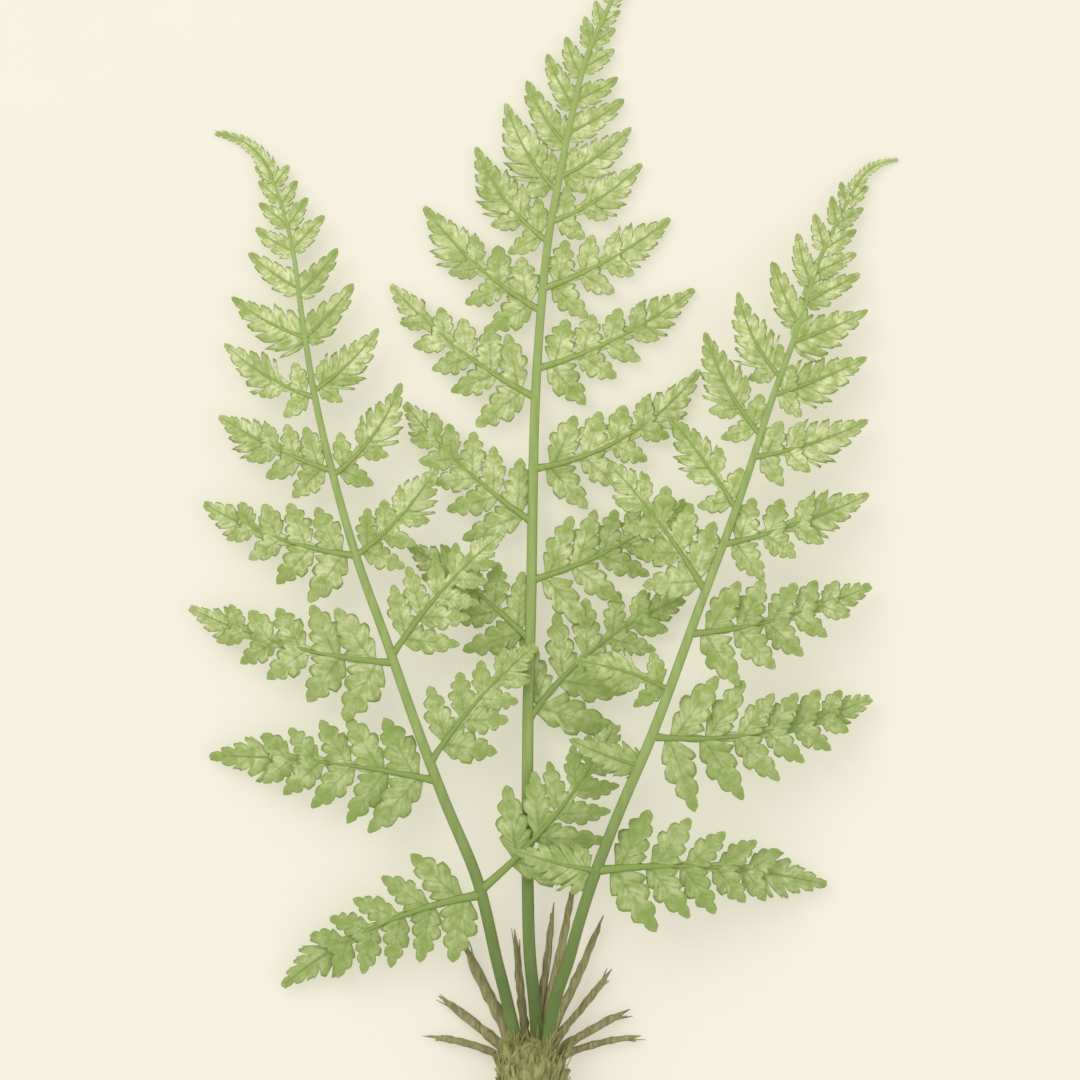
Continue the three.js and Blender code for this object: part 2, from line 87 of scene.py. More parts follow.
BLADE_SHIFT = 0.55  # how far out it starts from the last free leaflet, as a fraction of its first lobe
STRIP_FOOT = 0.55  # how wide its foot is, as a fraction of its full width, and how fast it opens
STRIP_OPENS = 4
ENVELOPE_STEPS = 20
END_FULLNESS = 1.2
END_NARROWS = 0.86  # how much narrower the outer blade gets at its very tip than its lobes would be

# Wing that joins the free leaflets' feet: its half width at the first pair and at the outer blade
WING_FROM = 1.6
WING_TO = 3.6
WING_LOBES = 5
WING_FOOT = 0.4  # how narrow it starts, as a fraction of its half width at the first pair
WING_OPENS = 0.03  # how far along the pinna it has opened
WING_OVERLAP = 0.02

# Short pinna: one blade with shallow lobes, a little wider where it is tiny
SHORT = 36
SHORT_HALF_WIDTH = 0.225
TINY_EXTRA = 0.1
TINY = 26
TINIEST = 10
LOBES_PER_ROOT_MM = 0.95
SHORT_PROFILE = [(0, 0.72), (0.1, 0.98), (0.28, 1.03), (0.5, 0.87), (0.72, 0.58), (0.9, 0.28), (1, 0.08)]

TIP_WIDTH = 0.15  # half width of the blade that ends a frond, as a fraction of its length
TIP_PROFILE = [(0, 1), (0.25, 0.84), (0.5, 0.64), (0.75, 0.42), (0.9, 0.3), (1, 0.2)]
TIP_LOBES = 11
BLADE_THICKNESS = 0.5
SURFACE_EASE = 1.2  # below this height a leaflet lies down on the floor instead of passing through it

# Crown
CROWN_CENTRE = Vector((1, 0, 13))
CROWN_FLATTEN = 0.86
CROWN_PROFILE = [(-30, 0), (-27.5, 8), (-18, 13.4), (-3, 15.8), (8, 14.6), (16, 10), (20, 0)]
STUB_COUNT = 24
STUB_RADIUS = 3.4
STUB_LENGTH = 18
ROOT_COUNT = 9
ROOT_STEPS = 18
SCALE_COUNT = 260
FOOT_SCALE_COUNT = 36
SCALE_THICKNESS = 0.12
GOLDEN_ANGLE = math.pi * (3 - math.sqrt(5))

# Each frond: how early its rachis grows thin, the line of the rachis, how far its pinnae droop for each
# millimetre of length, and its tip and pinnae as (height of the joint, length, heading in degrees, bow).
# Where they differ, how much longer than usual a pinna's leaflets are and where its first pair stands follow.
FRONDS = {
    "frond_centre": {
        "slenderness": 0.42,
        "rachis": [
            (3.2, 1, 9.9), (3.4, 14, 11), (2, 36, 11.6), (0, 55, 12), (-0.9, 81, 12.2), (-0.9, 162, 12),
            (0.5, 216, 11.4), (1.4, 270, 10.4), (2.4, 306, 9.6), (4.6, 342, 8.6), (8.2, 378, 7.6),
            (13, 405, 6.8), (18.4, 432, 6), (25.4, 460, 5.2), (36, 484, 4.4), (41, 494, 4),
        ],
        "tip": (484, 34, 59, 1),
        "droop": {"left": 0.075, "right": 0.075},
        "left": [
            (198, 70, 142, -2, 1.22), (251, 79, 137, 3, 1.12), (307, 83, 142, 4), (346, 71, 138, 4),
            (377, 54, 127, 4), (400, 46, 120, 3), (421, 34, 121, 2), (438, 27, 117, 1), (452, 19, 111, 1),
            (465, 14, 101, 0), (475, 11, 101, 0),
        ],
        "right": [
            (162, 90, 38, 7, 1.28), (225, 79, 27, -4, 1.3), (275, 88, 31, -9, 0.9), (320, 80, 27, -4, 0.92),
            (356, 66, 29, -3), (386, 49, 33, -3), (406, 40, 35, -2), (426, 30, 31, -1), (441, 22, 28, -1),
            (455, 17, 31, 0), (466, 13, 33, 0), (475, 11, 34, 0),
        ],
    },
    "frond_left": {
        "slenderness": 0.62,
        "rachis": [
            (-4.8, 1, 13.6), (-5.4, 13, 15), (-10.3, 36, 17.6), (-14.8, 54, 19.6), (-23.4, 90, 22),
            (-38.2, 126, 23), (-51.8, 162, 23), (-64.4, 198, 22.4), (-77.4, 234, 21), (-87.8, 270, 19.2),
            (-96.3, 306, 16.6), (-102.2, 342, 13.2), (-107.5, 378, 8.8), (-115.7, 405, 4.8),
            (-119.5, 413, 3.4),
        ],
        "tip": (404, 35, 141, -6),
        "droop": {"left": 0.17, "right": 0.03},
        "left": [
            (84, 100, 205, -7), (135, 104, 174, -3), (188, 96, 165, 5), (236, 73, 161, 4, 1.14),
            (274, 57, 154, 2, 1.12), (307, 48, 149, 3), (334, 38, 151, 2), (356, 28, 144, 1),
            (373, 20, 148, 1), (385, 16, 143, 0), (396, 13, 139, 0), (405, 10, 143, 0),
        ],
        "right": [
            (86, 97, 51, -5, 1.3, 0.2), (143, 72, 48, 3, 1.25, 0.14), (191, 74, 48, 3, 1.2, 0.12),
            (236, 55, 48, -3, 1.15), (272, 52, 54, -4), (310, 41, 44, -2), (334, 33, 48, -1),
            (354, 27, 49, -1), (374, 21, 46, 0), (384, 16, 55, 0), (394, 13, 55, 0), (403, 11, 52, 0),
        ],
    },
    "frond_right": {
        "slenderness": 0.62,
        "rachis": [
            (5.4, 1, 18.6), (7.2, 13, 20), (11, 36, 24), (17.1, 54, 27), (22.1, 72, 29.2), (27.9, 90, 31),
            (34.6, 108, 32.2), (41.9, 126, 33), (53.6, 153, 33.4), (63.9, 180, 33.2), (77, 216, 31.6),
            (87.3, 243, 29.8), (96.8, 270, 27.4), (108.5, 306, 23), (118.4, 333, 18.8), (124.2, 351, 15.6),
            (130.1, 369, 12), (138.6, 387, 8), (146, 401, 4.8), (150, 407, 3.6),
        ],
        "tip": (400, 25, 34, 4),
        "droop": {"left": 0.03, "right": 0.26},
        "left": [
            (95, 38, 166, 1, 1.2), (142, 34, 159, 1, 1.2), (176, 45, 163, -2, 1.1), (220, 73, 127, -2, 1.18),
            (257, 52, 126, -1), (290, 53, 118, 3), (316, 43, 116, 3), (340, 31, 113, 1), (358, 24, 105, 1),
            (374, 16.5, 106, 0), (385, 13, 99, 0), (394, 10.5, 103, 0),
        ],
        "right": [
            (95, 105, -4, 5), (155, 101, 10, -7, 1.12), (201, 85, 15, -4, 1.1), (241, 70, 19, -2),
            (280, 55, 18, -2), (308, 46, 22, -1), (332, 37, 23, -1), (350, 28, 27, 0), (363, 21, 25, 0),
            (374, 17, 30, 0), (385, 14.5, 30, 0), (395, 12, 36, 0),
        ],
    },
}

# Old dead leaf stalks that spread low from the crown: x and y of the tip, radius half way along
OLD_STALKS = [
    (-30, 62, 2.9), (-41, 38, 2.4), (-7, 68, 2), (11, 80, 1.9), (21, 94, 2), (33, 74, 2.2),
    (37, 50, 1.9), (45, 32, 2.1), (50, 20, 1.8), (-46, 20, 1.9),
]
OLD_STALK_STEPS = 22


# Finishes


class Wire:
    """One value in a material. Arithmetic on it adds Math nodes."""

    def __init__(self, finish, socket):
        self.finish = finish
        self.socket = socket

    def math(self, operation, *values):
        return self.finish.add("ShaderNodeMath", {"operation": operation}, dict(enumerate(values)))

    def __add__(self, other):
        return self.math("ADD", self, other)

    def __radd__(self, other):
        return self.math("ADD", other, self)

    def __sub__(self, other):
        return self.math("SUBTRACT", self, other)

    def __rsub__(self, other):
        return self.math("SUBTRACT", other, self)

    def __mul__(self, other):
        return self.math("MULTIPLY", self, other)

    def __rmul__(self, other):
        return self.math("MULTIPLY", other, self)

    def magnitude(self):
        return self.math("ABSOLUTE", self)

    def fraction(self):
        return self.math("FRACT", self)

    def rise(self, low, high):
        """0 below low and 1 above high, with a soft step between them; low may be the larger one."""
        settings = {"interpolation_type": "SMOOTHSTEP"}
        return self.finish.add("ShaderNodeMapRange", settings, {0: self, 1: low, 2: high})


class Finish:
    """A procedural material under construction, around one Principled shader."""

    def __init__(self, name, sheen=0.0):
        self.material = bpy.data.materials.new(name)
        self.material.use_nodes = True
        self.tree = self.material.node_tree
        self.shader = self.tree.nodes["Principled BSDF"]
        self.shader.inputs["Specular IOR Level"].default_value = 0.3
        self.shader.inputs["Sheen Weight"].default_value = sheen
        self.place = self.add("ShaderNodeTexCoord", output=3)

    def add(self, kind, settings=None, inputs=None, output=0):
        node = self.tree.nodes.new(kind)
        for name, value in (settings or {}).items():
            setattr(node, name, value)
        for key, value in (inputs or {}).items():
            if isinstance(value, Wire):
                self.tree.links.new(value.socket, node.inputs[key])
            else:
                node.inputs[key].default_value = value
        return Wire(self, node.outputs[output])

    def noise(self, scale, detail=3.0, stretch=None):
        place = self.place
        if stretch:
            place = self.add("ShaderNodeMapping", None, {"Vector": place, "Scale": stretch})
        inputs = {"Vector": place, "Scale": scale, "Detail": detail, "Roughness": 0.6}
        return self.add("ShaderNodeTexNoise", None, inputs)

    def mix(self, factor, first, second):
        return self.add("ShaderNodeMix", {"data_type": "RGBA"}, {0: factor, 6: first, 7: second}, output=2)

    def separate(self, vector, axis):
        return self.add("ShaderNodeSeparateXYZ", None, {0: vector}, output=axis)

    def feed(self, name, wire):
        self.tree.links.new(wire.socket, self.shader.inputs[name])

    def bump(self, height, distance, strength=1.0):
        inputs = {"Height": height, "Distance": distance, "Strength": strength}
        self.feed("Normal", self.add("ShaderNodeBump", None, inputs))


def colour(red, green, blue):
    """A linear colour from its display values, 0 to 255."""
    return (*(((c / 255 + 0.055) / 1.055) ** 2.4 for c in (red, green, blue)), 1.0)


def leaf_finish():
    """Soft matt green: faint veins, darker edges, strokes along the side veins and watery blotches."""
    finish = Finish("leaf_green", sheen=0.1)
    grid = finish.add("ShaderNodeUVMap", {"uv_map": "UVMap"})
    tooth = finish.separate(grid, 0)
    across = (finish.separate(grid, 1) * 2 - 1).magnitude()
    tone = finish.add("ShaderNodeAttribute", {"attribute_name": "tone"}, output=2)
    height = finish.separate(finish.place, 1)
    brush = finish.add("ShaderNodeCombineXYZ", None, {0: tooth * 5, 1: across * 1.6, 2: tone * 40})
    strokes = finish.add("ShaderNodeTexNoise", None, {"Vector": brush, "Scale": 1.0, "Detail": 3.0})

    end = finish.add("ShaderNodeAttribute", {"attribute_name": "end"}, output=2)
    midvein = across.rise(0.16, 0.0) * end.rise(1.0, 0.5)
    side_vein = (tooth.fraction() - 0.6).magnitude().rise(0.2, 0.0) * across.rise(1.0, 0.5)
    blotches = finish.noise(230, 4).rise(0.38, 0.62)
    patches = finish.noise(60, 3).rise(0.35, 0.68)
    grain = finish.noise(1100, 3)
    edge = across.rise(0.78, 1.0) * (0.45 + blotches * 0.5)

    base = finish.mix(blotches * 0.8 + tone * 0.2, LEAF_MID, LEAF_LIGHT)
    base = finish.mix(patches * 0.58, base, LEAF_DEEP)
    base = finish.mix(strokes.rise(0.46, 0.68) * 0.48, base, LEAF_DEEP)
    base = finish.mix(grain.rise(0.45, 0.75) * 0.3, base, LEAF_DEEP)
    base = finish.mix(edge * 1.1 + side_vein * 0.2, base, VEIN_AND_FLANK_SHADE)
    base = finish.mix(midvein * 0.42 + tone * 0.06, base, VEIN_AND_FLANK_SHADE)
    base = finish.mix(end.rise(0.55, 1.0) * 0.5, base, LEAF_DEEP)
    base = finish.mix(height.rise(0.34, 0.05) * 0.5, base, LEAF_LOW)
    finish.feed("Base Color", base)
    finish.feed("Roughness", 0.62 + grain * 0.2)
    finish.bump(grain * 0.25 + strokes * 0.25 - midvein * 0.45 - side_vein * 0.25, 0.00025)
    return finish.material


def stalk_finish():
    """Green stalk with painted shade on its flanks where they turn away from the sky, long streaks, browner
    towards its foot.
    """
    finish = Finish("stalk_green")
    height = finish.separate(finish.place, 1)
    facing = finish.separate(finish.add("ShaderNodeNewGeometry", output=1), 2)
    painted_flank_shade = facing.rise(0.75, 0.1)
    streaks = finish.noise(420, 4, stretch=(1, 0.12, 1))
    cloud = finish.noise(40, 2)

    base = finish.mix(streaks.rise(0.35, 0.65) * 0.6, STALK_LIGHT, STALK_MID)
    # painted shade: the stalk's flanks, whose normals turn away from straight up, are darkened towards a
    # shaded green
    base = finish.mix(painted_flank_shade * height.rise(0.5, 0.2) * 0.6, base, STALK_FLANK_SHADE)
    base = finish.mix(height.rise(0.18, 0.03) * (0.6 + cloud * 0.5), base, STALK_FOOT)
    base = finish.mix(height.rise(0.28, 0.44) * 0.7, base, RIB_LIGHT)
    base = finish.mix(height.rise(0.022, 0.006), base, BARK_MID)
    finish.feed("Base Color", base)
    finish.feed("Roughness", 0.5 + streaks * 0.25)
    finish.bump(streaks, 0.00025)
    return finish.material


def rib_finish():
    """The green of the leaflets' veins, with fine streaks, and painted shade on the rib's sides that turn
    away from the sky.
    """
    finish = Finish("rib_green")
    height = finish.separate(finish.place, 1)
    streaks = finish.noise(500, 4)
    base = finish.mix(streaks.rise(0.35, 0.65) * 0.6, RIB_LIGHT, RIB_MID)
    base = finish.mix(height.rise(0.42, 0.12) * 0.85, base, STALK_MID)
    facing = finish.separate(finish.add("ShaderNodeNewGeometry", output=1), 2)
    # painted shade: the rib's sides, whose normals turn away from straight up, are darkened towards the dark
    # vein green
    base = finish.mix(facing.rise(0.85, 0.3) * 0.5, base, VEIN_AND_FLANK_SHADE)
    finish.feed("Base Color", base)
    finish.feed("Roughness", 0.55 + streaks * 0.25)
    finish.bump(streaks, 0.0002)
    return finish.material


def bark_finish(name, light, dark, scale):
    """Fibrous brown of the rootstock and its old stalks."""
    finish = Finish(name)
    fibres = finish.noise(scale, 5, stretch=(1, 0.15, 1))
    cloud = finish.noise(60, 3)
    base = finish.mix(fibres.rise(0.35, 0.65), dark, light)
    base = finish.mix(cloud.rise(0.4, 0.65) * 0.35, base, MOSS)
    finish.feed("Base Color", base)
    finish.feed("Roughness", 0.75 + fibres * 0.2)
    finish.bump(fibres, 0.0006)
    return finish.material


def scale_finish():
    """Thin dry scales, straw brown with paler tips."""
    finish = Finish("scale_straw", sheen=0.15)
    grid = finish.add("ShaderNodeUVMap", {"uv_map": "UVMap"})
    along = finish.separate(grid, 0)
    tone = finish.add("ShaderNodeAttribute", {"attribute_name": "tone"}, output=2)
    grain = finish.noise(1500, 2)
    base = finish.mix(along * 0.7 + tone * 0.3, SCALE_DARK, SCALE_LIGHT)
    base = finish.mix(grain * 0.3, base, SCALE_DARK)
    finish.feed("Base Color", base)
    finish.feed("Roughness", 0.55 + grain * 0.2)
    finish.bump(grain, 0.0001)
    return finish.material


def floor_finish():
    """Pale floor that glows a little with painted light, like a light table, so that shadows on it stay soft.
    """
    finish = Finish("pale_floor")
    grain = finish.noise(30, 2)
    base = finish.mix(grain * 0.3, FLOOR_CREAM, FLOOR_SHADE)
    finish.feed("Base Color", base)
    # painted light: the floor glows with its own colour though it is no lamp, lifting the shadows on it
    finish.feed("Emission Color", base)
    finish.shader.inputs["Emission Strength"].default_value = 0.9
    finish.feed("Roughness", 0.85 + grain * 0.1)
    return finish.material


LEAF_LIGHT = colour(250, 254, 200)
LEAF_MID = colour(190, 207, 126)
LEAF_DEEP = colour(140, 164, 72)
# the next colour is the leaves' dark vein and edge green, and also painted shade on the ribs' sides
VEIN_AND_FLANK_SHADE = colour(104, 130, 46)
LEAF_LOW = colour(134, 160, 80)
RIB_LIGHT = colour(170, 189, 110)
RIB_MID = colour(146, 168, 86)
STALK_LIGHT = colour(166, 187, 112)
STALK_MID = colour(142, 166, 88)
# the next colour is painted shade for the stalk's flanks
STALK_FLANK_SHADE = colour(102, 128, 62)
STALK_FOOT = colour(98, 121, 60)
BARK_LIGHT = colour(178, 182, 120)
BARK_MID = colour(156, 160, 100)
BARK_DARK = colour(126, 122, 74)
MOSS = colour(140, 148, 96)
OLD_LIGHT = colour(178, 170, 126)
OLD_DARK = colour(134, 126, 84)
SCALE_LIGHT = colour(185, 182, 122)
SCALE_DARK = colour(135, 134, 78)
FLOOR_CREAM = colour(188, 184, 171)
FLOOR_SHADE = colour(184, 180, 166)


# Modelling helpers


def start_fresh():
    """Object mode with nothing selected."""
    if bpy.context.object and bpy.context.object.mode != "OBJECT":
        bpy.ops.object.mode_set(mode="OBJECT")
    bpy.ops.object.select_all(action="DESELECT")


def make_active(piece):
    start_fresh()
    piece.select_set(True)
    bpy.context.view_layer.objects.active = piece


def joined(pieces, name):
    make_active(pieces[0])
    for piece in pieces:
        piece.select_set(True)
    bpy.ops.object.join()
    whole = bpy.context.object
    whole.name = name
    whole.data.name = name
    return whole


def placed_copy(model, matrix, tone=0.0):
    """A copy of a model with its own mesh, placed by a matrix, and a tone of its own for its finish."""
    mesh = model.data.copy()
    mesh.transform(matrix)
    if matrix.determinant() < 0:
        mesh.flip_normals()
    if "tone" in mesh.attributes:
        mesh.attributes["tone"].data.foreach_set("value", [tone] * len(mesh.vertices))
    piece = bpy.data.objects.new(model.name, mesh)
    bpy.context.scene.collection.objects.link(piece)
    return piece


def discard(*models):
    for model in models:
        bpy.data.objects.remove(model)


def frame_matrix(along, across, upward, place):
    """A matrix from three columns and a place."""
    matrix = Matrix((along, across, upward)).transposed().to_4x4()
    matrix.translation = place
    return matrix


def interpolate(table, x):
    """The value at x of a line through (x, value) pairs."""
    for (x0, y0), (x1, y1) in zip(table, table[1:]):
        if x <= x1:
            return y0 + (y1 - y0) * (x - x0) / (x1 - x0)
    return table[-1][1]


def finish_piece(piece, material, slot, *nodes):
    """Gives a piece its material, hangs it on the root body and hides the imported parts of the named nodes,
    with nothing of it below the floor.
    """
    for vertex in piece.data.vertices:
        vertex.co.z = max(vertex.co.z, 0)
    piece.data.materials.clear()
    piece.data.materials.append(material)
    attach(piece, "root")
    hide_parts(*nodes)


STEPS_BETWEEN_KNOTS = 16


def curve_through(knots, steps):
    """Even stations along a centripetal Catmull-Rom curve through knots in millimetres, in metres."""
    knots = [Vector(knot) * MM for knot in knots]
    chain = [2 * knots[0] - knots[1], *knots, 2 * knots[-1] - knots[-2]]
    fine = []
    for four in zip(chain, chain[1:], chain[2:], chain[3:]):
        times = [0.0]
        for a, b in zip(four, four[1:]):
            times.append(times[-1] + math.sqrt((b - a).length))
        for k in range(STEPS_BETWEEN_KNOTS):
            t = times[1] + (times[2] - times[1]) * k / STEPS_BETWEEN_KNOTS
            low, high = drawn_together(drawn_together(four, times, 1, t), times, 2, t)
            fine.append(low.lerp(high, (t - times[1]) / (times[2] - times[1])))
    fine.append(knots[-1])
    return even_stations(fine, steps)


def drawn_together(spots, times, span, t):
    """The spots at one time on the lines between neighbours, each line this many knots long."""
    return [
        a.lerp(b, (t - times[i]) / (times[i + span] - times[i]))
        for i, (a, b) in enumerate(zip(spots, spots[1:]))
    ]


def even_stations(points, steps):
    """Spots at even distances along a line of points, its ends included."""
    lengths = [0.0]
    for a, b in zip(points, points[1:]):
        lengths.append(lengths[-1] + (b - a).length)
    stations = []
    k = 0
    for i in range(steps + 1):
        target = lengths[-1] * i / steps
        while k < len(points) - 2 and lengths[k + 1] < target:
            k += 1
        share = (target - lengths[k]) / max(lengths[k + 1] - lengths[k], 1e-9)
        stations.append(points[k].lerp(points[k + 1], share))
    return stations


def tubes(name, lines, sides):
    """Round tubes in one mesh. Each line is a list of (point, radius), in metres."""
    start_fresh()
    curve = bpy.data.curves.new(name, "CURVE")
    curve.dimensions = "3D"
    curve.twist_mode = "Z_UP"
    curve.bevel_depth = 1.0
    curve.bevel_resolution = sides // 2 - 2
    curve.use_fill_caps = True
    for line in lines:
        spline = curve.splines.new("POLY")
        spline.points.add(len(line) - 1)
        for point, (spot, radius) in zip(spline.points, line):
            point.co = (*spot, 1)
            point.radius = radius
    piece = bpy.data.objects.new(name, curve)
    bpy.context.scene.collection.objects.link(piece)
    make_active(piece)
    bpy.ops.object.convert(target="MESH")
    bpy.ops.object.shade_smooth_by_angle(angle=math.radians(60))
    return bpy.context.object


# Leaf blades, modelled once at unit size: length 1 along +X and half width 1 along Y.
# A shape gives the half width at fractions along the blade. A tooth gives its edge points as
# (share of the tooth, share of the cut), from one notch to the next.


UPPER_SHAPE = [
    (0, 0.5), (0.15, 0.78), (0.3, 0.95), (0.44, 1), (0.6, 0.88), (0.76, 0.64), (0.9, 0.36), (0.97, 0.18),
    (1, 0),
]
LOWER_SHAPE = [
    (0, 0.44), (0.12, 0.76), (0.25, 0.96), (0.4, 1), (0.6, 0.82), (0.76, 0.58), (0.88, 0.36), (0.96, 0.18),
    (1, 0),
]
TOOTH = [(0.24, 0.4), (0.55, 0.03), (0.83, 0.1), (1.0, 1.0)]
LOBE = [(0.12, 0.6), (0.32, 0.14), (0.48, 0.18), (0.7, 0.0), (0.88, 0.14), (1.0, 1.0)]
FOOT_SHEAR = 0.2  # how much further out the front corner of a leaflet's foot lies, to follow the rib
FOOT_FULLER = 0.55  # how much wider its front side is at the foot than its rear one
VARIANTS = 3


def new_strip(name, columns, rows):
    start_fresh()
    bpy.ops.mesh.primitive_grid_add(x_subdivisions=columns, y_subdivisions=rows, size=2)
    strip = bpy.context.object
    strip.name = name
    strip.data.attributes.new("tone", "FLOAT", "POINT")
    strip.data.attributes.new("end", "FLOAT", "POINT")
    return strip


def close_ends(strip):
    """Merges the points that a blade's shape has brought together at its tip."""
    bpy.ops.object.mode_set(mode="EDIT")
    bpy.ops.mesh.select_all(action="SELECT")
    bpy.ops.mesh.remove_doubles(threshold=0.001)
    bpy.ops.object.mode_set(mode="OBJECT")
    return strip


def place_on_edge(column, edge, teeth):
    """How far along a blade a column of its grid stands, and how much of the cut it has."""
    if column == 0:
        return 0.0, edge[-1][1]
    tooth, phase = divmod(column - 1, len(edge))
    share, notch = edge[phase]
    return (tooth + share) / teeth, notch


def model_leaflet(name, seed, shape, teeth, foot, cut, slant, rows=4):
    """A toothed leaflet whose columns slant forward along the side veins and whose foot follows the rib."""
    draw = random.Random(seed)
    columns = len(TOOTH) * teeth
    model = new_strip(name, columns, rows)
    for corner in model.data.uv_layers[0].data:
        corner.uv.x *= teeth
    wobble = {(c, side): draw.uniform(-1, 1) for c in range(columns + 1) for side in (-1, 1)}
    for vertex in model.data.vertices:
        column = round((vertex.co.x + 1) / 2 * columns)
        along, notch = place_on_edge(column, TOOTH, teeth)
        if column:
            along = foot + (1 - foot) * (1 - (1 - along) ** 1.15)
        across = vertex.co.y
        uneven = wobble[column, 1 if across > 0 else -1] * abs(across)
        width = interpolate(shape, along) * (1 + FOOT_FULLER * across * max(1 - along / 0.4, 0))
        depth = cut * min(0.35 + 1.2 * along, 1) * notch * (1 + 0.35 * uneven)
        lag = slant * width * (1 - abs(across)) * min(1, along / 0.5)
        sheared = FOOT_SHEAR * across * width * max(1 - along / 0.5, 0) ** 2
        ridge = -0.008 if abs(across) < 0.1 else 0.028 * (1 - abs(across))
        vertex.co = (
            along - lag + sheared + 0.014 * uneven * (along < 1),
            across * width * (1 - depth * abs(across) ** 0.3) * (1 + 0.07 * uneven),
            -0.05 * along**2 - 0.05 * width * abs(across) ** 1.5 + ridge * width * (1 - 2 * notch),
        )
        model.data.attributes["end"].data[vertex.index].value = along
    return close_ends(model)


def model_lobed(name, seed, lobes, cut, fade, rows=6):
    """A strip of even width whose edges are cut into lobes, to be shaped where it is laid."""
    draw = random.Random(seed)
    columns = len(LOBE) * lobes
    model = new_strip(name, columns, rows)
    for corner in model.data.uv_layers[0].data:
        corner.uv.x *= lobes
    wobble = {(c, side): draw.uniform(-1, 1) for c in range(columns + 1) for side in (-1, 1)}
    swell = {(lobe, side): draw.uniform(-1, 1) for lobe in range(lobes + 1) for side in (-1, 1)}
    for vertex in model.data.vertices:
        column = round((vertex.co.x + 1) / 2 * columns)
        along, notch = place_on_edge(column, LOBE, lobes)
        across = vertex.co.y
        side = 1 if across > 0 else -1
        uneven = wobble[column, side] * abs(across)
        depth = cut * (1 - fade * along) * notch * (1 + 0.25 * uneven)
        rounded = min(1, (1 - along) / 0.04) ** 0.5 if along < 1 else 0
        ridge = 0.06 * (1 - abs(across)) * (1 - 2 * notch) if abs(across) > 0.1 else 0
        grown = 1 + 0.08 * uneven + 0.09 * swell[max(column - 1, 0) // len(LOBE), side] * (1 - notch)
        vertex.co = (
            along + 0.012 * uneven * (0 < along < 1),
            across * (1 - depth * abs(across) ** 0.3) * grown * rounded,
            ridge - 0.1 * across**2,
        )
        model.data.attributes["end"].data[vertex.index].value = along
    return close_ends(model)


def blade_models():
    """Three uneven variants of each kind of leaflet and of each number of lobes."""
    leaflets = {
        "upper": dict(shape=UPPER_SHAPE, teeth=4, foot=0.1, cut=0.4, slant=0.3),
        "lower": dict(shape=LOWER_SHAPE, teeth=4, foot=0.08, cut=0.4, slant=0.28),
        "small_upper": dict(shape=UPPER_SHAPE, teeth=3, foot=0.12, cut=0.34, slant=0.3),
        "small_lower": dict(shape=LOWER_SHAPE, teeth=3, foot=0.1, cut=0.34, slant=0.28),
    }
    models = {
        kind: [model_leaflet(f"{kind}_leaflet_{k}", 10 * k + len(kind), **form) for k in range(VARIANTS)]
        for kind, form in leaflets.items()
    }
    for lobes in range(2, MOST_LOBES + 1):
        models["shallow", lobes] = [
            model_lobed(f"shallow_{lobes}_{k}", 7 * lobes + k, lobes, 0.4, 0.15) for k in range(VARIANTS)
        ]
        models["deep", lobes] = [
            model_lobed(f"deep_{lobes}_{k}", 9 * lobes + k, lobes, 0.6, 0.4) for k in range(VARIANTS)
        ]
    models["tip"] = [model_lobed(f"tip_{k}", 40 + k, TIP_LOBES, 0.74, 0.1) for k in range(VARIANTS)]
    return models


# Fronds


def rachis_radius(fraction, slenderness):
    return (RACHIS_TIP_RADIUS + RACHIS_TAPER * (1 - fraction) ** slenderness) * MM


def point_at_height(stations, y):
    above = next(k for k, station in enumerate(stations) if station.y >= y)
    low, high = stations[above - 1], stations[above]
    return low.lerp(high, (y - low.y) / (high.y - low.y))


def pinna_midline(joint, row, droop):
    """A rule for the spot and the heading at a fraction along a pinna, in metres."""
    length, heading, bow = row[1:4]
    length, bow = length * MM, bow * MM
    turn = math.radians(heading)
    along = Vector((math.cos(turn), math.sin(turn), 0))
    across = Vector((-along.y, along.x, 0))
    fall = min(droop * length, max(joint.z - LOWEST * MM - 0.01 * length, 0))

    def at(s):
        spot = joint + along * length * s + across * 4 * bow * s * (1 - s)
        spot.z -= fall * max(s, 0) ** 1.5
        forward = (along + across * 4 * bow * (1 - 2 * s) / length).normalized()
        return spot, forward

    return at


def leaflet_size(length, lower, at, fullness):
    """Reach in millimetres and lean in radians of a leaflet that stands at a fraction of a pinna."""
    share = LEAFLET_REACH * fullness * (1 - at) ** 0.7 + END_REACH
    least, more, fade = LOWER_LEAN if lower else UPPER_LEAN
    lean = least + more * (1 - at) ** fade
    return length * share * (1 if lower else UPPER_SHARE), math.radians(lean)


def pair_count(length):
    return max(2, round(PAIRS_PER_ROOT_MM * math.sqrt(length) - PAIRS_LESS))


def pair_place(length, first, i):
    """Fraction of a pinna at which its pair of leaflets number i stands."""
    return first + (1 - first) * (1 - (1 - i / (pair_count(length) + 0.6)) ** 1.25)


def leaflet_row(length, lower, fullness, first):
    """Place, reach, lean and half width of the free leaflets of one side of a pinna."""
    for i in range(pair_count(length)):
        at = pair_place(length, first, i + (0 if lower else UPPER_LAG))
        gap = (pair_place(length, first, i + 1) - pair_place(length, first, i)) * length
        reach, lean = leaflet_size(length, lower, at, fullness)
        if reach < max(FREE_ABOVE, FREE_SHARE * length) * (1 if lower else UPPER_SHARE):
            return
        broad = LOWER_HALF_WIDTH if lower else UPPER_HALF_WIDTH
        yield at, reach, lean, min(broad * reach, PACKING * gap * math.sin(lean))


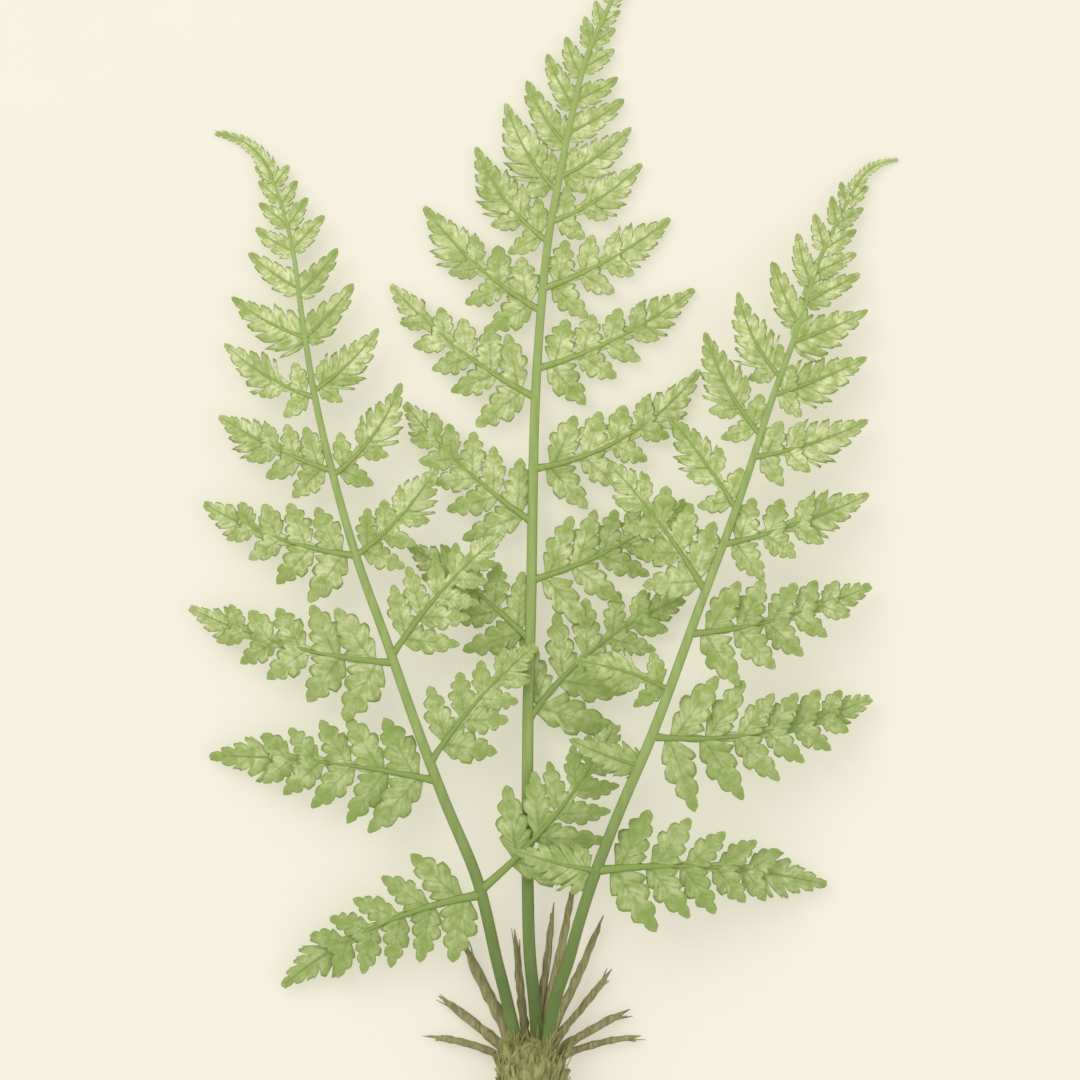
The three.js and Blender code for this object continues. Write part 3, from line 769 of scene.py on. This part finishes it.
def leaflet_envelope(length, lower, fullness):
    """A table of how far across the leaflets' tips reach, in millimetres, at fractions of the pinna."""
    table = []
    for k in range(ENVELOPE_STEPS + 1):
        at = k / ENVELOPE_STEPS
        reach, lean = leaflet_size(length, lower, at, fullness)
        full = END_FULLNESS - END_NARROWS * max(at - 0.5, 0) ** 1.5 / 0.5**1.5
        table.append((at + reach * math.cos(lean) / length, full * reach * math.sin(lean)))
    return table


def short_envelope(length):
    tiny = min(max((TINY - length) / (TINY - TINIEST), 0), 1)
    half_width = length * (SHORT_HALF_WIDTH + TINY_EXTRA * tiny)
    return [(at, share * half_width) for at, share in SHORT_PROFILE]


def pinna_blades(midline, row, tipward_left, models, draw):
    """The blades of one pinna: free leaflets on both sides of its inner part, and its lobed blade."""
    length = row[1]
    if length < SHORT:
        lobes = max(2, round(LOBES_PER_ROOT_MM * math.sqrt(length)))
        widths = dict.fromkeys((-1, 1), short_envelope(length))
        model = draw.choice(models["shallow", lobes])
        return [laid_strip(model, midline, length, 0.0, widths, draw.random())]

    fullness = row[4] if len(row) > 4 else 1
    first = row[5] if len(row) > 5 else FIRST_PAIR
    blades = []
    widths = {}
    start = first
    for side in (-1, 1):
        lower = side < 0 if tipward_left else side > 0
        widths[side] = leaflet_envelope(length, lower, fullness)
        for at, reach, lean, half_width in leaflet_row(length, lower, fullness, first):
            spot, forward = midline(at)
            left = Vector((-forward.y, forward.x, 0))
            start = max(start, at)
            kind = ("" if reach > COARSE_ABOVE else "small_") + ("lower" if lower else "upper")
            lean += math.radians(draw.uniform(-5, 5))
            reach *= draw.uniform(0.95, 1.07) * MM
            half_width *= draw.uniform(0.92, 1.1) * MM
            out = forward * math.cos(lean) + left * math.sin(lean) * side
            tilt = math.radians(draw.uniform(3, 8))
            front = Vector((out.y, -out.x, 0)) * side * math.cos(tilt) + Vector((0, 0, math.sin(tilt)))
            matrix = frame_matrix(out * reach, front * half_width, Vector((0, 0, reach)), spot)
            blades.append(placed_copy(draw.choice(models[kind]), matrix, draw.random()))

    free = sum(1 for i in range(pair_count(length)) if pair_place(length, first, i) <= start)
    if start > first:
        start += leaflet_size(length, True, start, fullness)[0] * BLADE_SHIFT / length
    lobes = min(max(pair_count(length) - free + LOBES_MORE, FEWEST_LOBES), MOST_LOBES)
    model = draw.choice(models["deep", lobes])
    blades.append(laid_strip(model, midline, length, start, widths, draw.random()))
    if start > first:
        wing = [(first, WING_FOOT * WING_FROM), (first + WING_OPENS, WING_FROM), (start, WING_TO)]
        model = draw.choice(models["shallow", WING_LOBES])
        edges = dict.fromkeys((-1, 1), wing)
        stop = start + WING_OVERLAP
        blades.append(laid_strip(model, midline, length, first, edges, draw.random(), stop))
    return blades


def laid_strip(model, midline, length, start, widths, tone, stop=1.0):
    """A copy of a lobed strip laid along a midline between two fractions of it, its lobes leaning on."""
    piece = placed_copy(model, Matrix.Identity(4), tone)
    for vertex in piece.data.vertices:
        across = vertex.co.y
        s = start + (stop - start) * vertex.co.x
        tucked = min(STRIP_FOOT + STRIP_OPENS * vertex.co.x, 1) if start else 1
        width = interpolate(widths[1 if across > 0 else -1], s) * tucked
        s = max(s - LOBE_LEAN * (1 - abs(across)) * width / length, 0)
        spot, forward = midline(s)
        left = Vector((-forward.y, forward.x, 0))
        vertex.co = spot + left * across * width * MM + Vector((0, 0, vertex.co.z * width * MM))
    return piece


def pinna_rib(midline, row, thickest, share=0.97):
    """Stations along a rib, which starts inside the rachis, thin enough to be hidden there."""
    height, length = row[:2]
    stout = min(max(length / STOUT_FROM, LEAST_STOUT), MOST_STOUT)
    stout *= 1 + LOW_STOUTER * max(1 - height / LOW_BELOW, 0)
    line = []
    for k in range(RIB_STEPS + 1):
        s = share * (k / RIB_STEPS) ** 1.4
        flare = 1 + RIB_FLARE * max(1 - s * length / FLARE_LENGTH, 0)
        radius = (RIB_RADIUS * stout * (1 - s) ** 1.35 * flare + RIB_TIP_RADIUS) * MM
        raised = midline(s)[0] + Vector((0, 0, RIB_RISE * min(s * length / FLARE_LENGTH, 1) * MM))
        line.append((raised, min(radius, RIB_IN_RACHIS * thickest + RIB_SWELLS * s * length * MM)))
    return line


def grow_frond(name, plan, models, draw):
    """One frond as three pieces: its rachis, the ribs of its pinnae, and its leaflets."""
    stations = curve_through(plan["rachis"], RACHIS_STEPS)
    line = [(spot, rachis_radius(k / RACHIS_STEPS, plan["slenderness"])) for k, spot in enumerate(stations)]
    ribs = []
    blades = []
    rows = [(row, plan["droop"][side], side == "right") for side in ("left", "right") for row in plan[side]]
    for row, droop, tipward_left in rows:
        joint = point_at_height(stations, row[0] * MM)
        thickest = min(line, key=lambda station: (station[0] - joint).length)[1]
        midline = pinna_midline(joint, row, droop)
        ribs.append(pinna_rib(midline, row, thickest))
        blades += pinna_blades(midline, row, tipward_left, models, draw)
    tip = plan["tip"]
    midline = pinna_midline(point_at_height(stations, tip[0] * MM), tip, max(plan["droop"].values()))
    ribs.append(pinna_rib(midline, tip, RACHIS_TIP_RADIUS * MM))
    widths = dict.fromkeys((-1, 1), [(at, share * TIP_WIDTH * tip[1]) for at, share in TIP_PROFILE])
    blades.append(laid_strip(draw.choice(models["tip"]), midline, tip[1], 0.0, widths, draw.random()))

    leaflets = joined(blades, name + "_leaflets")
    rest_on_floor(leaflets.data)
    thicken(leaflets, BLADE_THICKNESS * MM)
    bpy.ops.object.shade_smooth_by_angle(angle=math.radians(45))

    rachis = tubes(name + "_rachis", [line], RACHIS_SIDES)
    cut_groove(rachis.data, line)
    return rachis, tubes(name + "_ribs", ribs, 8), leaflets


def rest_on_floor(mesh):
    """Eases what would pass through the floor up to lie on it, lower parts still below higher ones."""
    ease = SURFACE_EASE * MM
    for vertex in mesh.vertices:
        if vertex.co.z < ease:
            vertex.co.z = ease * math.exp(vertex.co.z / ease - 1)


def thicken(piece, thickness):
    make_active(piece)
    bpy.ops.object.modifier_add(type="SOLIDIFY")
    modifier = piece.modifiers[-1]
    modifier.thickness = thickness
    modifier.offset = 0
    bpy.ops.object.modifier_apply(modifier=modifier.name)


def cut_groove(mesh, line):
    """Presses in the highest corner of each ring of a tube, which leaves a groove along its upper side."""
    sides = len(mesh.vertices) // len(line)
    for ring, (_, radius) in enumerate(line):
        corners = mesh.vertices[ring * sides:(ring + 1) * sides]
        top = max(corners, key=lambda corner: corner.co.z)
        top.co.z -= GROOVE * radius


def draws(seed):
    """The same stream of numbers as the solids use, so that stubs and roots stand where theirs do."""
    state = seed
    while True:
        state = state * 16807 % 2147483647
        yield state / 2147483647


# Crown


def model_core():
    """The rootstock: a sphere given the rootstock's profile along Y, flat where it rests."""
    start_fresh()
    bpy.ops.mesh.primitive_uv_sphere_add(segments=48, ring_count=32, radius=1)
    core = bpy.context.object
    core.name = "crown_core"
    low, high = CROWN_PROFILE[0][0], CROWN_PROFILE[-1][0]
    rough = random.Random(5)
    for vertex in core.data.vertices:
        x, z, y = vertex.co
        ring = math.hypot(x, z)
        y = low + (high - low) * (math.asin(max(-1, min(1, y))) / math.pi + 0.5)
        radius = interpolate(CROWN_PROFILE, y) * rough.uniform(0.97, 1.03)
        unit = (x / ring, -z / ring) if ring > 1e-4 else (0, 0)
        spot = CROWN_CENTRE + Vector((unit[0] * radius, y, unit[1] * radius * CROWN_FLATTEN))
        spot.z = max(spot.z, 0)
        vertex.co = spot * MM
    return core


def model_stub():
    """A broken leaf base of unit length along +Z: a tapered stub with a ridged side and a hollow end."""
    start_fresh()
    bpy.ops.mesh.primitive_cylinder_add(vertices=10, radius=1, depth=1, end_fill_type="NGON")
    stub = bpy.context.object
    stub.name = "leaf_base"
    bpy.ops.object.mode_set(mode="EDIT")
    bpy.ops.mesh.select_all(action="SELECT")
    bpy.ops.mesh.subdivide(number_cuts=2)
    bpy.ops.object.mode_set(mode="OBJECT")
    for k, vertex in enumerate(stub.data.vertices):
        x, y, z = vertex.co
        up = z + 0.5
        narrow = 1 - 0.68 * up**0.8
        dent = 0.18 * (1 - math.hypot(x, y)) * (up > 0.9)
        ragged = 0.05 * math.sin(5 * math.atan2(y, x) + k) * (up > 0.9)
        vertex.co = (x * narrow, y * narrow * 0.75 + 0.25 * up**2, z - dent + ragged)
    bpy.ops.object.shade_smooth_by_angle(angle=math.radians(50))
    return stub


def leaf_stubs():
    """Leaf bases in a spiral round the rootstock, all leaning towards its tip."""
    model = model_stub()
    draw = draws(71)
    stubs = []
    for k in range(STUB_COUNT):
        around = k * GOLDEN_ANGLE
        outward = Vector((math.cos(around), 0, math.sin(around) * CROWN_FLATTEN))
        y = -25 + 34 * k / STUB_COUNT
        size = 0.8 + 0.4 * next(draw)
        if outward.z < -0.55:
            continue
        turn = next(draw) * math.pi
        lean = (outward * 0.55 + Vector((0, 1, 0))).normalized()
        seat = outward * 13 + CROWN_CENTRE + Vector((0, y + 5, 0))
        turned = lean.to_track_quat("Z", "Y").to_matrix().to_4x4() @ Matrix.Rotation(turn, 4, "Z")
        wide = STUB_RADIUS * size * MM
        sized = Matrix.Diagonal((wide, wide, STUB_LENGTH * size * MM, 1))
        stubs.append(placed_copy(model, Matrix.Translation(seat * MM) @ turned @ sized))
    discard(model)
    return stubs


def old_stalks():
    """Shrivelled old leaf stalks, low on the floor, each wandering a little and frayed at its end."""
    draw = random.Random(17)
    lines = []
    for x, y, radius in OLD_STALKS:
        knots = [
            (1 + 0.12 * x, 2, 8),
            (0.3 * x, 7 + 0.2 * y, 6.6),
            (0.66 * x, 6 + 0.56 * y, 4.6),
            (x, y, 3),
        ]
        stations = curve_through(knots, OLD_STALK_STEPS)
        line = []
        for k, spot in enumerate(stations):
            share = k / OLD_STALK_STEPS
            sway = Vector((draw.uniform(-0.25, 0.25), 0, draw.uniform(-0.2, 0.2))) * MM
            shrink = radius * (1.25 - 0.5 * share) * draw.uniform(0.82, 1.1)
            line.append((spot + sway, shrink * MM * min(1, 0.15 + 5 * (1 - share))))
        lines.append(line)
        for _ in range(4):
            lines.append(loose_fibre(line, draw))
    return tubes("old_stalks", lines, 10)


def loose_fibre(line, draw):
    """A fibre that peels off an old stalk and ends beside its tip."""
    start = draw.randint(12, 18)
    spread = Vector((draw.uniform(-1, 1), draw.uniform(-1, 0.2), draw.uniform(-0.2, 0.6))) * 3.2 * MM
    short = draw.randint(0, 2)
    fibre = []
    for k in range(start, OLD_STALK_STEPS + 1 - short):
        share = (k - start) / (OLD_STALK_STEPS - start)
        fibre.append((line[k][0] + spread * share**1.5, (0.85 - 0.7 * share) * MM))
    return fibre


def wiry_roots():
    """Roots from the back and sides of the rootstock, with finer side roots."""
    draw = draws(29)
    loose = random.Random(31)
    lines = []
    for k in range(ROOT_COUNT):
        turn = math.pi * (1.08 + 0.84 * k / (ROOT_COUNT - 1))
        reach = 15 + 10 * next(draw)
        rise = 2 + 7 * next(draw)
        wander = (next(draw) - 0.5) * 10
        out = Vector((math.cos(turn), math.sin(turn), 0))
        knots = [
            (1 + 7 * out.x, -14 + 6 * out.y, 5 + rise),
            (1 + 17 * out.x, -18 + 13 * out.y, 4 + rise * 0.8),
            (1 + (17 + reach) * out.x + wander, -18 + (9 + reach) * out.y * 0.75, 1.4 + next(draw) * 2),
        ]
        stations = curve_through(knots, ROOT_STEPS)
        line = []
        for i, spot in enumerate(stations):
            share = i / ROOT_STEPS
            sway = Vector((loose.uniform(-0.5, 0.5), loose.uniform(-0.5, 0.5), 0)) * share * MM
            line.append((spot + sway, (0.95 - 0.6 * share) * MM))
        lines.append(line)
        for _ in range(4):
            lines.append(side_root(line, loose))
    return tubes("roots", lines, 6)


def side_root(line, draw):
    """A fine root that leaves a stouter one and wanders down to the floor."""
    start, _ = line[draw.randrange(5, 16)]
    turn = draw.uniform(math.pi * 1.05, math.pi * 1.95)
    spots = []
    spot = start.copy()
    for i in range(7):
        spots.append((spot.copy(), (0.38 - 0.045 * i) * MM))
        turn += draw.uniform(-0.35, 0.35)
        step = Vector((math.cos(turn), math.sin(turn) * 0.6, -0.25)) * 1.1 * MM
        spot = spot + step
        spot.z = max(spot.z, 0.4 * MM)
    return spots


def model_scale():
    """A thin lance-shaped scale of unit length along +X."""
    start_fresh()
    bpy.ops.mesh.primitive_grid_add(x_subdivisions=5, y_subdivisions=2, size=2)
    scale = bpy.context.object
    scale.name = "scale"
    shape = [(0, 0.5), (0.2, 1), (0.5, 0.7), (0.8, 0.25), (1, 0)]
    for vertex in scale.data.vertices:
        along = (vertex.co.x + 1) / 2
        across = vertex.co.y
        vertex.co = (along, across * interpolate(shape, along), 0.12 * along**2 - 0.05 * abs(across))
    scale.data.attributes.new("tone", "FLOAT", "POINT")
    bpy.ops.object.mode_set(mode="EDIT")
    bpy.ops.mesh.select_all(action="SELECT")
    bpy.ops.mesh.remove_doubles(threshold=0.001)
    bpy.ops.object.mode_set(mode="OBJECT")
    return scale


def crown_scales():
    """Scales among the leaf bases and round the feet of the living stalks, pointing up the plant."""
    model = model_scale()
    draw = random.Random(43)
    scales = []
    for k in range(SCALE_COUNT):
        around = k * GOLDEN_ANGLE
        y = draw.uniform(-24, 18)
        radius = interpolate(CROWN_PROFILE, y)
        outward = Vector((math.cos(around), 0, math.sin(around) * CROWN_FLATTEN))
        spot = CROWN_CENTRE + outward * radius + Vector((0, y, 0))
        if spot.z > 2:
            scales.append(scale_at(model, spot * MM, outward.normalized(), draw))
    for plan in FRONDS.values():
        stations = curve_through(plan["rachis"], RACHIS_STEPS * 4)
        for _ in range(FOOT_SCALE_COUNT):
            share = 0.012 + 0.03 * draw.random() ** 1.6
            around = draw.uniform(-0.4, math.pi + 0.4)
            outward = Vector((math.cos(around), 0, math.sin(around)))
            foot = stations[round(share * RACHIS_STEPS * 4)]
            radius = rachis_radius(share, plan["slenderness"])
            scales.append(scale_at(model, foot + outward * radius * 0.95, outward, draw))
    discard(model)
    whole = joined(scales, "crown_scales")
    thicken(whole, SCALE_THICKNESS * MM)
    return whole


def scale_at(model, foot, outward, draw):
    """A copy of the scale that grows from its foot up the plant and a little outward."""
    length = draw.uniform(4, 8.5) * MM
    out = (outward * draw.uniform(0.15, 0.4) + Vector((draw.uniform(-0.3, 0.3), 1, 0))).normalized()
    across = out.cross(outward).normalized()
    upward = across.cross(out)
    width = draw.uniform(0.5, 0.9) * MM
    matrix = frame_matrix(out * length, -across * width, upward * length, foot)
    return placed_copy(model, matrix, draw.random())


# The plant

leaf_green = leaf_finish()
stalk_green = stalk_finish()
rib_green = rib_finish()
models = blade_models()
draw = random.Random(8)
for name, plan in FRONDS.items():
    rachis, ribs, leaflets = grow_frond(name, plan, models, draw)
    finish_piece(rachis, stalk_green, "frond", name)
    finish_piece(ribs, rib_green, "frond", name)
    finish_piece(leaflets, leaf_green, "frond", name)
discard(*(model for variants in models.values() for model in variants))

rootstock = joined([model_core(), *leaf_stubs()], "rootstock")
finish_piece(rootstock, bark_finish("rootstock_bark", BARK_LIGHT, BARK_DARK, 500), "crown", "crown")
finish_piece(old_stalks(), bark_finish("old_stalk_brown", OLD_LIGHT, OLD_DARK, 700), "crown", "crown")
finish_piece(wiry_roots(), bark_finish("root_brown", BARK_MID, BARK_DARK, 900), "crown", "crown")
finish_piece(crown_scales(), scale_finish(), "crown", "crown")

# Floor, light and camera

VIEW_CENTRE = Vector((4.5, 243, 0)) * MM
VIEW_WIDTH = 486 * MM
VIEW_DISTANCE = 6.0

start_fresh()
bpy.ops.mesh.primitive_plane_add(size=14, location=(VIEW_CENTRE.x, VIEW_CENTRE.y, 0))
floor = bpy.context.object
floor.name = "floor"
floor.data.transform(floor.matrix_world)
floor.matrix_world = Matrix.Identity(4)
floor.data.materials.append(floor_finish())


def soft_light(name, place, size, power):
    start_fresh()
    bpy.ops.object.light_add(type="AREA", location=place)
    light = bpy.context.object
    light.name = name
    light.data.size = size
    light.data.energy = power
    light.rotation_euler = (VIEW_CENTRE - Vector(place)).to_track_quat("-Z", "Y").to_euler()
    light.visible_camera = False


soft_light("key_light", (-1.6, 1.9, 2.6), 2.4, 38)
soft_light("fill_light", (2.2, -0.6, 2.4), 2.6, 12)

world = bpy.data.worlds.new("studio")
world.use_nodes = True
world.node_tree.nodes["Background"].inputs["Color"].default_value = (1.0, 0.99, 0.96, 1)
world.node_tree.nodes["Background"].inputs["Strength"].default_value = 0.7
bpy.context.scene.world = world
bpy.context.scene.view_settings.view_transform = "Standard"

camera_data = bpy.data.cameras.new("camera")
camera_data.lens = camera_data.sensor_width / 2 / (VIEW_WIDTH / 2 / VIEW_DISTANCE)
camera_data.clip_end = 40
camera = bpy.data.objects.new("camera", camera_data)
camera.location = VIEW_CENTRE + Vector((0, 0, VIEW_DISTANCE))
bpy.context.scene.collection.objects.link(camera)
bpy.context.scene.camera = camera
